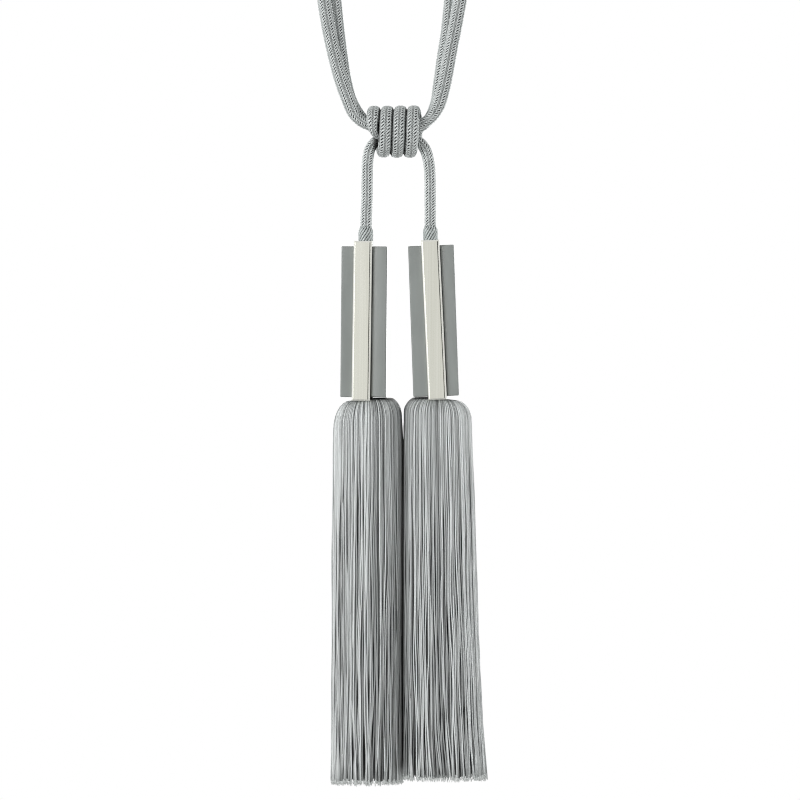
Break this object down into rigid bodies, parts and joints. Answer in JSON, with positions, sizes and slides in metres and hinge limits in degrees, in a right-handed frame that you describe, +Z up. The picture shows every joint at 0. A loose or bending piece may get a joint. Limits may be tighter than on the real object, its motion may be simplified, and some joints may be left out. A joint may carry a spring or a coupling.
{
  "type": "curtain tieback tassel",
  "caption": "Curtain tieback: a cord loop gathered in a wound knot, with tassels hanging below it on square painted heads that carry bevelled metal bars.",
  "frame": {"origin": "the hanging point, on the underside of the loop's top, halfway between its front and back cords", "axes": "+Z up along the hanging tieback, +X to the right seen from the front, -Y out of the front, where the metal bars are"},
  "size_m": [0.0985, 0.0406, 0.5619],
  "materials": {
    "braided_cord": "silky grey braid",
    "twisted_thread": "coarse twisted grey thread",
    "skirt_thread": "silky grey thread",
    "block_paint": "satin grey paint",
    "bar_metal": "satin pale champagne"
  },
  "bodies": {
    "root": {"loop_cord_front": "braided_cord", "loop_cord_back": "braided_cord", "drop_cord": "braided_cord", "knot_wrap": "braided_cord", "collar_left": "twisted_thread", "collar_right": "twisted_thread", "head_block_left": "block_paint", "head_block_right": "block_paint", "head_bar_left": "bar_metal", "head_bar_right": "bar_metal", "skirt_left": "skirt_thread", "skirt_right": "skirt_thread"}
  },
  "joints": []
}
